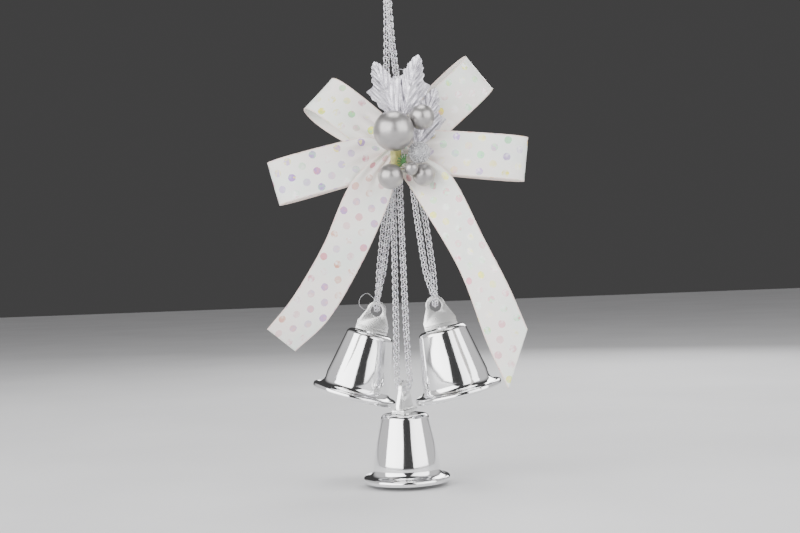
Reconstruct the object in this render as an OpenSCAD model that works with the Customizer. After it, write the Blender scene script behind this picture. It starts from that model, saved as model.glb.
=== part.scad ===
// Hanging Christmas ornament: three small chromed bells on knitted cords under a ribbon bow
// with two leaves and a cluster of pearl balls.
// Millimetres. +Z is up, +X is to the right and the front faces -Y.
// The origin is the inside top of the hanging loop.

/* [Bell shell] */
// Diameter of a bell at its rim
bell_d = 40; // [34:0.5:46]
// Height of a bell shell from rim to crown
bell_h = 31; // [26:0.5:34]
// Diameter of the body just above the flared rim
body_d = 30.7; // [26:0.1:33]
// Diameter under the rounded shoulder of the crown
crown_d = 22.4; // [18:0.2:25]
// Radius of the rounded shoulder
shoulder_r = 2.4; // [1.6:0.1:3]
// Thickness of the shell
bell_wall = 1.2; // [0.8:0.1:1.8]
// Height of the bead round the rim
rim_h = 2.2; // [1.6:0.1:3]

/* [Lug] */
// Width of a lug at its foot
lug_w = 15; // [12:0.5:18]
// Thickness of the lug plate
lug_t = 1.6; // [1.2:0.1:2.2]
// Diameter of the cord hole in the lug
lug_hole_d = 5.6; // [5.4:0.1:6.8]
// Metal left round the cord hole
lug_rim = 1.7; // [1.2:0.1:2.4]
// Height of the cord hole above the plate's foot
lug_hole_h = 8.6; // [7.5:0.1:10.5]
// Height of the foot flange under the plate
foot_h = 1.6; // [1.2:0.1:2.4]
// Depth of the foot flange, front to back
foot_y = 6; // [4.5:0.5:8]
// Diameter of the stem through the crown
stem_d = 3; // [2.2:0.1:3.6]
// Thickness of the retaining washer inside the crown
washer_h = 1.4; // [1:0.1:2]
// Diameter of the retaining washer
washer_d = 7.5; // [6.5:0.5:9]

/* [Clapper] */
// Diameter of the hole in the inner eye
eye_hole_d = 2.4; // [2:0.1:3]
// Metal left round the eye's hole
eye_rim = 1.2; // [0.9:0.1:1.5]
// Radius of the clapper's ring, to the middle of its wire
ring_r = 2.6; // [2.5:0.1:3.2]
// Diameter of the clapper's wire
link_d = 0.9; // [0.7:0.1:1.1]
// Diameter of the clapper ball
clapper_d = 6.2; // [5:0.2:7.4]
// Length of the clapper from its pivot to the middle of its ball
clapper_len = 24; // [21:0.5:25]

/* [Cord] */
// Diameter of the knitted cord
cord_d = 3.3; // [2.6:0.1:3.4]
// Diameter of the knot that a bell's cord hangs from
knot_d = 6.4; // [5.6:0.1:6.6]

/* [Ribbon] */
// Width of the ribbon
ribbon_w = 20; // [16:0.5:23]
// Diameter of the tie wire
tie_d = 0.7; // [0.5:0.1:0.9]
// Thickness of the stiffened ribbon
ribbon_t = 0.8; // [0.6:0.1:1.2]
// Length of an upper loop from the waist to its fold
upper_loop_len = 48; // [40:1:54]
// Length of a side loop from the waist to its fold
side_loop_len = 58.5; // [49:1:66]
// Depth of a loop, front to back, at its fullest
loop_depth = 13; // [10:0.5:15]
// Width of the gathered waist
waist_w = 8; // [6:0.5:10]

/* [Leaves and balls] */
// Length of a top leaf
leaf_len = 29; // [24:0.5:34]
// Thickness of a leaf
leaf_t = 0.7; // [0.5:0.1:1]
// Diameter of the large ball
large_ball_d = 18; // [15:0.2:18.4]
// Diameter of the middle-sized balls
middle_ball_d = 11.4; // [9.4:0.2:11.6]
// Diameter of the right ball
right_ball_d = 10; // [8.2:0.2:10.2]
// Diameter of the small ball
small_ball_d = 6; // [5:0.2:6.4]
// Diameter of the beaded ball
beaded_ball_d = 10.2; // [8.4:0.2:10.4]
// Diameter of the wires that carry the balls
wire_d = 0.8; // [0.6:0.1:1]
// Diameter of the taped stem
stem_tape_d = 5; // [4.2:0.2:5.2]

/* [Hidden] */
$fn = 64;
eps = 0.01;

// Running clearance between a part and what moves in or round it
clear = 0.35;
// Fit between a fixed wire or stem and its hole
fit = 0.1;

// Where each cord's middle lies in its lug, which is the point that the bell swings about
LEFT = [-10.4, 14, -149];
RIGHT = [16.5, -6, -147];
LOWER = [0.9, 0, -185.5];
// Lean of each bell, and the turn of its lug about the upright
left_tilt = 17;
right_tilt = -13;
lower_turn = 65;
// Middle of each knot
KNOT_LEFT = [-0.8, 8, -87];
KNOT_RIGHT = [8.8, 0.2, -87];
KNOT_LOWER = [1, 0.4, -87];

// Levels of a bell, measured down from the point that it swings about
cord_r = cord_d / 2;
// The hole's middle is lower than the cord's, which lifts the lug by the top of its hole
hole_z = -(lug_hole_d / 2 - cord_r - clear - 0.23);
foot_z = hole_z - lug_hole_h;
crown_z = foot_z - foot_h - 0.5;
rim_z = crown_z - bell_h;
washer_z = crown_z - bell_wall - washer_h;
eye_r = eye_hole_d / 2 + eye_rim;
eye_z = washer_z - eye_r - 0.3;

// Middle of the bow, where every ribbon is gathered
BOW = [2, -6, -76];
// Middle line of the taped stem
STEM = [1.2, -14.4, 0];
STEM_TOP = -75.5;
STEM_FOOT = -91;

// ---- functions ----
function unit(v) = v / norm(v);
function smooth(t) = let (c = min(1, max(0, t))) c * c * (3 - 2 * c);
// Points of a smooth curve that passes through every point of p, with n steps a span
function catmull(a, b, c, d, t) =
  0.5 * (2 * b + (c - a) * t + (2 * a - 5 * b + 4 * c - d) * t * t + (3 * b - a - 3 * c + d) * t * t * t);
function at(p, i) =
  i < 0 ? 2 * p[0] - p[1] : i >= len(p) ? 2 * p[len(p) - 1] - p[len(p) - 2] : p[i];
function curve(p, n) = concat(
  [for (i = [0 : len(p) - 2]) for (k = [0 : n - 1])
    catmull(at(p, i - 1), p[i], p[i + 1], at(p, i + 2), k / n)],
  [p[len(p) - 1]]);
function tangent(p, i) = unit(p[min(len(p) - 1, i + 1)] - p[max(0, i - 1)]);
// Faces of a swept solid whose m rings have s corners each
function swept_faces(m, s) = concat(
  [[for (k = [0 : s - 1]) k]],
  [for (i = [0 : m - 2]) for (k = [0 : s - 1]) let (a = i * s + k, b = i * s + (k + 1) % s)
    each [[a, a + s, b], [b, a + s, b + s]]],
  [[for (k = [0 : s - 1]) m * s - 1 - k]]);
// A point carried by a bell's lean and its lug's turn
function placed(origin, tilt, p) =
  origin + [p[0] * cos(tilt) + p[2] * sin(tilt), p[1], p[2] * cos(tilt) - p[0] * sin(tilt)];

// ---- general shapes ----
// A round tube along a path; ref is a direction that the path never runs along
module tube(path, d, ref, sides = 8) {
  rings = [for (i = [0 : len(path) - 1])
    let (t = tangent(path, i), u = unit(cross(t, ref)), v = cross(t, u))
      for (k = [0 : sides - 1])
        path[i] + d / 2 * (cos(360 * k / sides) * u + sin(360 * k / sides) * v)];
  polyhedron(rings, swept_faces(len(path), sides), convexity = 8);
}

// A flat strip between two edge lines with equal numbers of points
module strip(edge_a, edge_b, t) {
  n = len(edge_a);
  rings = [for (i = [0 : n - 1])
    let (w = unit(edge_b[i] - edge_a[i]),
         along = tangent([for (j = [0 : n - 1]) (edge_a[j] + edge_b[j]) / 2], i),
         normal = unit(cross(along, w)) * t / 2)
      each [edge_a[i] - normal, edge_b[i] - normal, edge_b[i] + normal, edge_a[i] + normal]];
  polyhedron(rings, swept_faces(n, 4), convexity = 8);
}

// A straight round rod between two points
module rod(a, b, d) {
  v = b - a;
  translate(a) rotate([0, acos(v[2] / norm(v)), atan2(v[1], v[0])]) cylinder(d = d, h = norm(v), $fn = 24);
}

module torus(r, d) {
  rotate_extrude() translate([r, 0]) circle(d = d, $fn = 24);
}

// ---- hanging loop ----
HANGER = [
  [-2, 10, -63.2], [-2.2, 7, -57], [-2, 3, -49], [-1.8, -0.6, -40], [-1.2, -3, -30], [-0.8, -5, -20],
  [-0.5, -6, -11], [-0.4, -5.6, -4.5], [-0.3, -4, -0.6], [0, 0, 1.65], [0.3, 4, -0.6], [0.4, 5.6, -4.5],
  [0.6, 6, -11], [1, 5.4, -20], [1.8, 4.4, -30], [2.6, 3.4, -40], [3.2, 4.6, -49], [3.4, 7.4, -57],
  [3.2, 10, -63.2]
];
HANGER_KNOT = [0.6, 10, -67];

module hanger_loop() {
  color("silver") tube(curve(HANGER, 3), cord_d, [1, 0, 0]);
}

module hanger_knot() {
  color("silver") translate(HANGER_KNOT) {
    for (z = [-1.55, 1.55]) translate([0, 0, z]) torus(2.6, cord_d);
    cylinder(d = 5.4, h = 6.4, center = true);
  }
}

// A rectangle with round corners, centred on the origin
module rounded(x, y, r) {
  square([x - 2 * r, y], center = true);
  square([x, y - 2 * r], center = true);
  for (i = [-1, 1]) for (j = [-1, 1]) translate([i * (x / 2 - r), j * (y / 2 - r)]) circle(r = r);
}

// Three turns of wire round the gathered waist of the bow, deeper at the back for the cords' ends
module tie_wire() {
  inside = [2 * waist_r + 0.6, 3 * waist_pitch + 2];
  color("gainsboro") translate(BOW) for (x = [-0.9, 0, 0.9]) translate([x, 1.2, 0]) rotate([0, 90, 0])
    linear_extrude(tie_d, center = true) difference() {
      rounded(inside[0] + 2 * tie_d, inside[1] + 2 * tie_d, 2 + tie_d);
      rounded(inside[0], inside[1], 2);
    }
}

// ---- ribbon ----
// Half the distance between a loop's two layers where the waist pinches them
layer_gap = ribbon_t / 2 + 0.25;
// Depth of one ribbon's pinched waist, front to back
waist_t = 2 * (layer_gap + ribbon_t / 2) + 0.4;
// From one ribbon's waist to the next
waist_pitch = waist_t + 0.7;
// Brings the teardrop's widest point to the stated depth
fullness = 1.64;
// Distance from the middle of the bow at which a loop begins, clear of the loop opposite
loop_start = waist_w * 0.46;
waist_r = norm([loop_start, waist_w / 2]) + 0.6;
// Width of a ribbon at a distance from the waist
function gathered(u, reach) = waist_w + (ribbon_w - waist_w) * smooth(u / reach);

// A loop that leaves the waist in direction dir (degrees from +X, seen from the front), set back
// by the angle back, with its tube-like opening tipped by lean
module ribbon_loop(dir, length, lean, back, bow_y, reach = 15, steps = 29) {
  d = [cos(dir) * cos(back), sin(back), sin(dir) * cos(back)];
  across = [-sin(dir), 0, cos(dir)];
  behind = cross(across, d);
  w = across * cos(lean) + behind * sin(lean);
  n = behind * cos(lean) - across * sin(lean);
  centre = BOW + [0, bow_y, 0];
  path = [for (i = [0 : steps]) let (a = 1 + 358 * i / steps, share = (1 - cos(a)) / 2,
    v = -fullness * loop_depth / 2 * sin(a) * pow(share, 1.2) - sign(sin(a)) * layer_gap * (1 - share))
    [loop_start + (length - loop_start) * share, v]];
  edges = [for (s = [-0.5, 0.5]) [for (q = path)
    centre + d * q[0] + n * q[1] + s * gathered(q[0], reach) * w]];
  strip(edges[0], edges[1], ribbon_t);
}

// The pinched waist that joins a ribbon's two sides
module waist(bow_y) {
  translate(BOW + [0, bow_y, 0]) rotate([90, 0, 0]) cylinder(r = waist_r, h = waist_t, center = true);
}

module upper_bow_ribbon() {
  color("whitesmoke") {
    ribbon_loop(142, upper_loop_len, -14, 17, waist_pitch);
    ribbon_loop(43, upper_loop_len + 8, -14, 17, waist_pitch);
    waist(waist_pitch);
  }
}

module side_bow_ribbon() {
  color("whitesmoke") {
    ribbon_loop(194, side_loop_len, 0, -6, 0);
    ribbon_loop(-7, side_loop_len, 0, -6, 0);
    waist(0);
  }
}

// Edges of the two tails, from the waist down to their cut ends
TAIL_LEFT_OUT = [[0.4, -9.2, -73.5], [-7, -10.6, -79], [-20, -15.5, -92], [-32, -18, -117], [-46, -21, -140],
  [-58.5, -22, -155]];
TAIL_LEFT_IN = [[1.4, -9.2, -79], [-0.5, -9.4, -87], [-2, -10, -98], [-16.5, -11, -128], [-32, -14, -152],
  [-47.5, -12, -165.5]];
TAIL_RIGHT_IN = [[2.6, -9.2, -79], [4, -9.6, -88], [9.5, -13, -98], [27, -24, -131], [38, -29, -164],
  [46.5, -31, -184.5]];
TAIL_RIGHT_OUT = [[3.6, -9.2, -73.5], [13, -11, -79], [26, -17, -90], [38.5, -26, -118], [48, -32, -139],
  [55.6, -33, -158.5]];

module tail_ribbon() {
  color("whitesmoke") {
    strip(curve(TAIL_LEFT_OUT, 4), curve(TAIL_LEFT_IN, 4), ribbon_t);
    strip(curve(TAIL_RIGHT_IN, 4), curve(TAIL_RIGHT_OUT, 4), ribbon_t);
    waist(-waist_pitch);
  }
}

// ---- leaves ----
// One side of a leaf's outline, as shares of its length: three pointed teeth and the tip
LEAF_SIDE = [
  [0.02, 0], [0.07, 0.08], [0.16, 0.2], [0.21, 0.26], [0.21, 0.36], [0.26, 0.42], [0.27, 0.5], [0.31, 0.58],
  [0.19, 0.61], [0.15, 0.65], [0.165, 0.72], [0.12, 0.76], [0.125, 0.83], [0.08, 0.88], [0.075, 0.93]
];

module leaf(base, dir, length, tip_y, stalk) {
  half = concat([[0.5, -stalk]], [for (p = LEAF_SIDE) p * length]);
  outline = concat(half, [[0, length]], [for (i = [len(half) - 1 : -1 : 0]) [-half[i][0], half[i][1]]]);
  color("silver") translate(base) rotate([0, 90 - dir, 0]) rotate([90 + asin(tip_y / length), 0, 0])
    linear_extrude(leaf_t, center = true) polygon(outline);
}

module leaf_left() { leaf([2.2, -13.4, -62], 110, leaf_len - 2, -0.5, 9); }
module leaf_right() { leaf([5, -12.2, -62], 74, leaf_len, -0.5, 9); }
module leaf_side() { leaf([10.5, -12.1, -76], 70, leaf_len, -3.2, 4); }

// ---- balls on wires ----
BALL_LARGE = [0.6, -25, -69.3];
BALL_TOP = [13.3, -20.5, -63.2];
BALL_LOWER = [-1.5, -22.2, -89.2];
BALL_SMALL = [7.8, -24.5, -86.2];
BALL_RIGHT = [13.3, -19, -88.8];
BALL_BEADED = [11.7, -17.6, -78.6];
// Each ball with the height on the stem at which its wire joins
BALLS = [[BALL_LARGE, -78], [BALL_TOP, -76.8], [BALL_LOWER, -88], [BALL_SMALL, -84.5], [BALL_RIGHT, -86],
  [BALL_BEADED, -80.5]];

module wires(d) {
  for (b = BALLS) rod(b[0], [STEM[0], STEM[1], b[1]], d);
}

module ball(centre, d) {
  color("gainsboro") difference() {
    translate(centre) sphere(d = d);
    wires(wire_d + 2 * fit);
  }
}

module ball_wires() { color("darkgray") wires(wire_d); }

module taped_stem() {
  color("olivedrab") difference() {
    translate([STEM[0], STEM[1], STEM_FOOT]) cylinder(d = stem_tape_d, h = STEM_TOP - STEM_FOOT);
    wires(wire_d + 2 * fit);
  }
}

module needle_sprig() {
  root = [5, -19, -82.6];
  color("darkgreen") {
    translate(root) sphere(d = 1.2, $fn = 24);
    for (i = [0 : 6]) rod(root, root + 3.3 * [cos(78 + 24 * i), -0.35, sin(78 + 24 * i)], 0.6);
  }
}

// ---- a bell, in its own frame: the swing point is the origin and the lug's plate is in XZ ----
module at_bell(i) {
  if (i == 0) translate(LEFT) rotate([0, left_tilt, 0]) children();
  if (i == 1) translate(RIGHT) rotate([0, right_tilt, 0]) children();
  if (i == 2) translate(LOWER) rotate([0, 0, lower_turn]) children();
}

module lug() {
  color("white") difference() {
    union() {
      rotate([90, 0, 0]) linear_extrude(lug_t, center = true) {
        translate([0, hole_z]) circle(d = lug_hole_d + 2 * lug_rim);
        polygon([[-lug_w / 2, foot_z], [lug_w / 2, foot_z], [lug_w / 2, foot_z + 2],
          [lug_hole_d / 2 + lug_rim - 0.4, hole_z + 0.6], [-lug_hole_d / 2 - lug_rim + 0.4, hole_z + 0.6],
          [-lug_w / 2, foot_z + 2]]);
      }
      translate([0, 0, foot_z - foot_h / 2 + 0.2]) cube([lug_w, foot_y, foot_h + 0.4], center = true);
      translate([0, 0, crown_z]) cylinder(d = stem_d + 2.4, h = foot_z - foot_h - crown_z + eps);
      translate([0, 0, eye_z]) cylinder(d = stem_d, h = foot_z - eye_z);
      translate([0, 0, eye_z]) rotate([90, 0, 0]) cylinder(r = eye_r, h = lug_t, center = true);
    }
    translate([0, 0, hole_z]) rotate([90, 0, 0]) cylinder(d = lug_hole_d, h = foot_y, center = true);
    translate([0, 0, eye_z]) rotate([90, 0, 0]) cylinder(d = eye_hole_d, h = stem_d + 2, center = true);
    // the flats that leave room for the clapper's ring beside the eye
    for (s = [-1, 1]) translate([0, s * (lug_t / 2 + 2), eye_z])
      cube([2 * eye_r, 4, 2 * eye_r + 0.4], center = true);
    // the groove between the plate's foot and the flange
    for (s = [-1, 1]) translate([0, s * (lug_t / 2 + 2.5), foot_z + 0.1])
      cube([lug_w + 1, 5, 0.4], center = true);
  }
}

// Half the section of a shell's outer face, or of its inner face when in is the wall's thickness
function section(in) = concat(
  [[0, bell_h - in]],
  [for (a = [0 : 15 : 90]) [crown_d / 2 - shoulder_r + (shoulder_r - in) * sin(a),
    bell_h - shoulder_r + (shoulder_r - in) * cos(a)]],
  [[body_d / 2 - 0.1 - in, 8.8]],
  [for (a = [90 : -15 : 0]) [body_d / 2 - in + (bell_d / 2 - body_d / 2 - 0.8) * (1 - sin(a)),
    rim_h + 0.3 - in + 3.8 * (1 - cos(a))]]);
function reversed(p) = [for (i = [len(p) - 1 : -1 : 0]) p[i]];

module shell() {
  color("lightgray") translate([0, 0, rim_z]) difference() {
    rotate_extrude($fn = 96) polygon(concat(section(0),
      [[bell_d / 2, rim_h], [bell_d / 2, 0], [bell_d / 2 - 1.9, 0]], reversed(section(bell_wall))));
    translate([0, 0, bell_h - 2 * bell_wall]) cylinder(d = stem_d + 2 * fit, h = 3 * bell_wall);
  }
}

module washer() {
  color("lightgray") translate([0, 0, washer_z]) difference() {
    cylinder(d = washer_d, h = washer_h);
    translate([0, 0, -1]) cylinder(d = stem_d + 2 * fit, h = washer_h + 2);
  }
}

// Clappers hang plumb below the eye, whatever the bell's lean
module at_clapper(i) {
  if (i == 0) translate(placed(LEFT, left_tilt, [0, 0, eye_z])) children();
  if (i == 1) translate(placed(RIGHT, right_tilt, [0, 0, eye_z])) children();
  if (i == 2) translate(LOWER + [0, 0, eye_z]) rotate([0, 0, lower_turn]) children();
}

module link_rod(d) {
  translate([0, 0, 1 - clapper_len]) cylinder(d = d, h = clapper_len - 1 - 2 * ring_r);
}

module clapper_link() {
  color("silver") {
    translate([0, 0, -ring_r]) rotate([0, 90, 0]) torus(ring_r, link_d);
    link_rod(link_d);
  }
}

module clapper_ball() {
  color("silver") difference() {
    translate([0, 0, -clapper_len]) sphere(d = clapper_d);
    link_rod(link_d + 2 * fit);
  }
}

// ---- cords of the bells ----
// Each cord is one length: down one strand, through the lug's hole and up the other strand
CORD_LEFT = [
  [-0.2, 6.4, -90.6], [-1.8, 7.3, -100], [-4.1, 8.7, -115], [-6.5, 10, -130], [-8.8, 10.4, -139],
  [-10.4, 10.8, -145.8], [-10.4, 11.2, -147.4], [-10.4, 12.4, -148.6], [-10.4, 14, -149],
  [-10.4, 15.6, -148.6], [-10.4, 16.8, -147.4], [-10.4, 17.2, -145.8], [-9.4, 16, -139],
  [-8.5, 14.2, -130], [-6.5, 12.5, -115], [-4.2, 11.1, -100], [-2.6, 10.2, -90.6]
];
CORD_RIGHT = [
  [8.2, -2.4, -90.6], [9, -3.3, -100], [10.7, -4.7, -115], [12.5, -6.5, -130], [14.5, -8.3, -138],
  [16.5, -9.2, -143.8], [16.5, -8.8, -145.4], [16.5, -7.6, -146.6], [16.5, -6, -147],
  [16.5, -4.4, -146.6], [16.5, -3.2, -145.4], [16.5, -2.8, -143.8], [16.5, -2.4, -138],
  [16, -2.3, -130], [14.4, -1.1, -115], [12.4, 0.3, -100], [10.6, 1.4, -90.6]
];
CORD_LOWER = [
  [-0.6, 1.6, -90.6], [-0.8, 1.4, -100], [-1.1, 1.2, -120], [-1.4, 1.1, -140], [-1.7, 1.1, -160],
  [-2, 1.2, -174], [-2, 1.35, -182.3], [-1.6, 1.2, -183.9], [-0.6, 0.7, -185.1],
  [0.9, 0, -185.5], [2.4, -0.7, -185.1], [3.4, -1.2, -183.9], [3.8, -1.35, -182.3],
  [3.5, -1.2, -174], [3, -1.1, -160], [2.8, -1.1, -140], [2.6, -1.2, -120], [2.5, -1.4, -100],
  [2.6, -1.4, -90.6]
];

module bell_cord(route, ref) {
  color("silver") tube(curve(route, 3), cord_d, ref);
}

module bell_knot(centre) {
  color("silver") translate(centre) sphere(d = knot_d);
}

// ---- drawing ----
hanger_loop();
hanger_knot();
tie_wire();
upper_bow_ribbon();
side_bow_ribbon();
tail_ribbon();
leaf_left();
leaf_right();
leaf_side();
ball(BALL_LARGE, large_ball_d);  // ball_large
ball(BALL_TOP, middle_ball_d);  // ball_top
ball(BALL_LOWER, middle_ball_d);  // ball_lower
ball(BALL_SMALL, small_ball_d);  // ball_small
ball(BALL_RIGHT, right_ball_d);  // ball_right
ball(BALL_BEADED, beaded_ball_d);  // ball_beaded
ball_wires();
taped_stem();
needle_sprig();
bell_knot(KNOT_LEFT);  // knot_left
bell_knot(KNOT_RIGHT);  // knot_right
bell_knot(KNOT_LOWER);  // knot_lower
bell_cord(CORD_LEFT, [1, 0, 0]);  // cord_left
bell_cord(CORD_RIGHT, [1, 0, 0]);  // cord_right
bell_cord(CORD_LOWER, [cos(lower_turn), sin(lower_turn), 0]);  // cord_lower
at_bell(0) lug();  // lug_left
at_bell(1) lug();  // lug_right
at_bell(2) lug();  // lug_lower
at_bell(0) shell();  // shell_left
at_bell(1) shell();  // shell_right
at_bell(2) shell();  // shell_lower
at_bell(0) washer();  // washer_left
at_bell(1) washer();  // washer_right
at_bell(2) washer();  // washer_lower
at_clapper(0) clapper_link();  // clapper_link_left
at_clapper(1) clapper_link();  // clapper_link_right
at_clapper(2) clapper_link();  // clapper_link_lower
at_clapper(0) clapper_ball();  // clapper_ball_left
at_clapper(1) clapper_ball();  // clapper_ball_right
at_clapper(2) clapper_ball();  // clapper_ball_lower
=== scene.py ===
# Looks of the hanging Christmas bell ornament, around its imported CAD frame.
# Metres, +Z up, the front faces -Y, the origin is the inside top of the hanging loop.
# Shapes are worked out in millimetres, and piece() turns them into metres.
import math
import random

import bpy
import numpy as np
from mathutils import Matrix


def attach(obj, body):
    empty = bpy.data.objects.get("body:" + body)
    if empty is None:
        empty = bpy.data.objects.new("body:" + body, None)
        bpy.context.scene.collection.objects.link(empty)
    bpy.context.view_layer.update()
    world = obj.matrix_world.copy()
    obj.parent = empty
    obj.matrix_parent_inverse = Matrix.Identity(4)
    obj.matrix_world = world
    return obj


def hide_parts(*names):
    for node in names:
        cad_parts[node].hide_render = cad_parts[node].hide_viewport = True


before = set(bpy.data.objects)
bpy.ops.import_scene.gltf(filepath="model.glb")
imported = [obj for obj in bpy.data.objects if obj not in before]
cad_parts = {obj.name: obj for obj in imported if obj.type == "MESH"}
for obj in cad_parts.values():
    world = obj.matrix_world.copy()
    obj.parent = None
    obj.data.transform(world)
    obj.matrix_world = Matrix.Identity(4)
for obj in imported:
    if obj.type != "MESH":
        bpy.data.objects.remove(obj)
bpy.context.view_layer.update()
MM = 0.001


# ---- camera: level, from the front, with the slight roll of a hand-held shot ----
PHOTO_MIDDLE = (1.2, -129.2)
CAMERA_AWAY = 600.0
LENS = 58.7
SENSOR = 36.0
ROLL = math.radians(2.13)


def make_camera():
    """The scene's camera, which looks along +Y at the middle of the photo."""
    data = bpy.data.cameras.new("camera")
    data.lens = LENS
    data.sensor_width = SENSOR
    camera = bpy.data.objects.new("camera", data)
    right = (math.cos(ROLL), 0.0, -math.sin(ROLL))
    up = (math.sin(ROLL), 0.0, math.cos(ROLL))
    back = (0.0, -1.0, 0.0)
    camera.matrix_world = Matrix((right, up, back)).transposed().to_4x4()
    camera.location = (PHOTO_MIDDLE[0] * MM, -CAMERA_AWAY * MM, PHOTO_MIDDLE[1] * MM)
    bpy.context.collection.objects.link(camera)
    bpy.context.scene.camera = camera


make_camera()


# ---- small geometry helpers ----
TUBE_SIDES = 5


def unit(v):
    """A vector, or each row of them, at length 1."""
    v = np.asarray(v, float)
    return v / np.linalg.norm(v, axis=-1, keepdims=True)


def smooth(t):
    """An even ease from 0 to 1 as t goes from 0 to 1."""
    c = np.clip(t, 0, 1)
    return c * c * (3 - 2 * c)


def curve(points, steps):
    """A smooth line through every point, with steps samples a span."""
    p = np.asarray(points, float)
    p = np.vstack([2 * p[0] - p[1], p, 2 * p[-1] - p[-2]])
    out = []
    for i in range(1, len(p) - 2):
        a, b, c, d = p[i - 1 : i + 3]
        for t in np.arange(steps) / steps:
            out.append(0.5 * (2 * b + (c - a) * t + (2 * a - 5 * b + 4 * c - d) * t**2
                              + (3 * b - a - 3 * c + d) * t**3))
    out.append(p[-2])
    return np.array(out)


def along(line):
    """Distance along a line at each of its points."""
    return np.concatenate([[0], np.cumsum(np.linalg.norm(np.diff(line, axis=0), axis=1))])


def resampled(line, step):
    """The same line with evenly spaced points, about a step apart."""
    s = along(line)
    at = np.linspace(0, s[-1], max(2, int(round(s[-1] / step)) + 1))
    return np.stack([np.interp(at, s, line[:, k]) for k in range(3)], axis=1)


def frames(line, ref):
    """The line's direction at each point and two directions across it, turned as little as possible."""
    t = unit(np.gradient(line, axis=0))
    u = np.zeros_like(t)
    last = np.asarray(ref, float)
    for i, d in enumerate(t):
        last = last - d * last.dot(d)
        last = last / np.linalg.norm(last)
        u[i] = last
    return t, u, np.cross(t, u)


def tube(line, radius, ref):
    """Vertices and faces of a closed tube along a line."""
    _, u, v = frames(line, ref)
    a = np.arange(TUBE_SIDES) * 2 * math.pi / TUBE_SIDES
    ring = u[:, None] * np.cos(a)[None, :, None] + v[:, None] * np.sin(a)[None, :, None]
    verts = (line[:, None] + ring * radius).reshape(-1, 3)
    faces = []
    for i in range(len(line) - 1):
        here, ahead = i * TUBE_SIDES, (i + 1) * TUBE_SIDES
        for k in range(TUBE_SIDES):
            n = (k + 1) % TUBE_SIDES
            faces.append((here + k, here + n, ahead + n, ahead + k))
    faces.append(tuple(range(TUBE_SIDES - 1, -1, -1)))
    faces.append(tuple((len(line) - 1) * TUBE_SIDES + k for k in range(TUBE_SIDES)))
    return verts, faces


def ball_mesh(radius, centre, n=48):
    """A round ball with n bands from top to bottom and twice as many sectors."""
    sectors = 2 * n
    verts = [(0, 0, radius)]
    for i in range(1, n):
        t = math.pi * i / n
        for k in range(sectors):
            a = math.pi * k / n
            out = radius * math.sin(t)
            verts.append((out * math.cos(a), out * math.sin(a), radius * math.cos(t)))
    verts.append((0, 0, -radius))
    faces = [(0, 1 + k, 1 + (k + 1) % sectors) for k in range(sectors)]
    for i in range(n - 2):
        row = 1 + i * sectors
        for k in range(sectors):
            a, b = row + k, row + (k + 1) % sectors
            faces.append((a, a + sectors, b + sectors, b))
    last, base = len(verts) - 1, 1 + (n - 2) * sectors
    faces += [(last, base + (k + 1) % sectors, base + k) for k in range(sectors)]
    return np.array(verts) + np.asarray(centre), faces


def sheet_faces(rows, columns):
    """Faces of a thin sheet whose front grid comes before its back grid, and 1 for each that isn't front."""
    size = rows * columns
    faces, behind = [], []
    for i in range(rows - 1):
        for j in range(columns - 1):
            a, b = i * columns + j, i * columns + j + 1
            quad = (a, b, b + columns, a + columns)
            faces.append(quad[::-1])
            faces.append(tuple(corner + size for corner in quad))
            behind += [0, 1]
    rim = (list(range(columns)) + [i * columns + columns - 1 for i in range(1, rows)]
           + [(rows - 1) * columns + j for j in range(columns - 2, -1, -1)]
           + [i * columns for i in range(rows - 2, 0, -1)])
    for a, b in zip(rim, rim[1:] + rim[:1]):
        faces.append((a, b, b + size, a + size))
        behind.append(1)
    return faces, behind


def joined(parts):
    """Several meshes as one."""
    verts, faces, start = [], [], 0
    for v, f in parts:
        verts.append(np.asarray(v, float))
        faces += [tuple(i + start for i in face) for face in f]
        start += len(v)
    return np.vstack(verts), faces


def piece(name, verts, faces, materials, body="root", nodes=(), uv=None):
    """A mesh piece in the shared frame that rides on a body and stands for CAD nodes."""
    mesh = bpy.data.meshes.new(name)
    mesh.from_pydata((np.asarray(verts) * MM).tolist(), [], faces)
    if uv is not None:
        layer = mesh.uv_layers.new(name="uv")
        for loop in mesh.loops:
            layer.data[loop.index].uv = uv[loop.vertex_index]
    mesh.polygons.foreach_set("use_smooth", [True] * len(mesh.polygons))
    for material in materials:
        mesh.materials.append(material)
    obj = bpy.data.objects.new(name, mesh)
    bpy.context.collection.objects.link(obj)
    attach(obj, body)
    if nodes:
        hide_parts(*nodes)
    return obj


def apply_modifiers(obj):
    """Replace a mesh by what its modifiers make of it."""
    deps = bpy.context.evaluated_depsgraph_get()
    mesh = bpy.data.meshes.new_from_object(obj.evaluated_get(deps))
    obj.modifiers.clear()
    obj.data = mesh


# ---- node materials ----
# the Mix node's sockets for colours
COLOR_SOCKETS = slice(6, 8)
COLOR_RESULT = 2


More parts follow.
